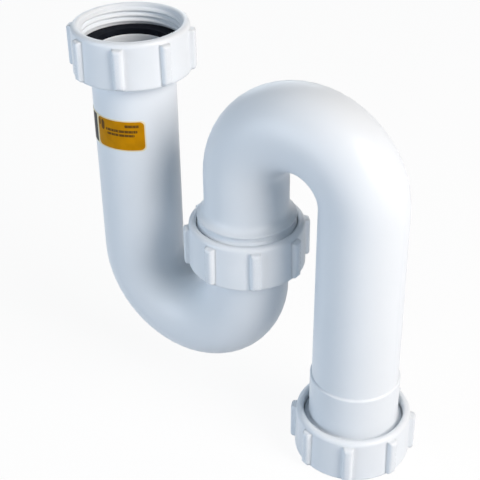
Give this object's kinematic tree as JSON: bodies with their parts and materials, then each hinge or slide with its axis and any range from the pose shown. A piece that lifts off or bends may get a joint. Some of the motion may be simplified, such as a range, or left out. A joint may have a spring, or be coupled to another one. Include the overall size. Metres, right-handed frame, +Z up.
{
  "type": "s trap",
  "caption": "Tubular swivel S trap for a basin: threaded inlet nut, U bend, union nut, swan neck and compression outlet for a waste pipe.",
  "frame": {"origin": "on the inlet axis, at the top face of the inlet washer, where the basin waste's tail seats", "axes": "+Z up the inlet axis, out of the inlet nut's mouth; +X from the inlet towards the outlet in the trap's plane"},
  "size_m": [0.1599, 0.0528, 0.1678],
  "materials": {
    "white_plastic": "satin moulded polypropylene",
    "nut_plastic": "satin moulded polypropylene",
    "black_rubber": "matt moulded rubber",
    "slip_plastic": "smooth natural polyethylene",
    "amber_label": "printed film"
  },
  "bodies": {
    "trap_body": {"u_bend": "white_plastic", "inlet_washer": "black_rubber", "union_washer": "black_rubber", "label": "amber_label"},
    "inlet_coupling": {"inlet_nut": "nut_plastic"},
    "union_coupling": {"union_nut": "nut_plastic"},
    "outlet_arm": {"swan_neck": "white_plastic", "outlet_seal": "black_rubber", "slip_washer": "slip_plastic"},
    "outlet_coupling": {"outlet_nut": "nut_plastic"}
  },
  "joints": [
    {"name": "inlet_nut_spin", "type": "hinge", "parent": "trap_body", "child": "inlet_coupling", "pos_m": [0, 0, 0], "axis": [0, 0, 1], "continuous": true},
    {"name": "union_nut_spin", "type": "hinge", "parent": "trap_body", "child": "union_coupling", "pos_m": [0.0557, 0, -0.0734], "axis": [0, 0, 1], "continuous": true},
    {"name": "swan_neck_swivel", "type": "hinge", "parent": "trap_body", "child": "outlet_arm", "pos_m": [0.0557, 0, -0.0734], "axis": [0, 0, 1], "range_deg": [-125, 125]},
    {"name": "outlet_nut_spin", "type": "hinge", "parent": "outlet_arm", "child": "outlet_coupling", "pos_m": [0.10942, 0, -0.14821], "axis": [0, 0, 1], "continuous": true}
  ]
}
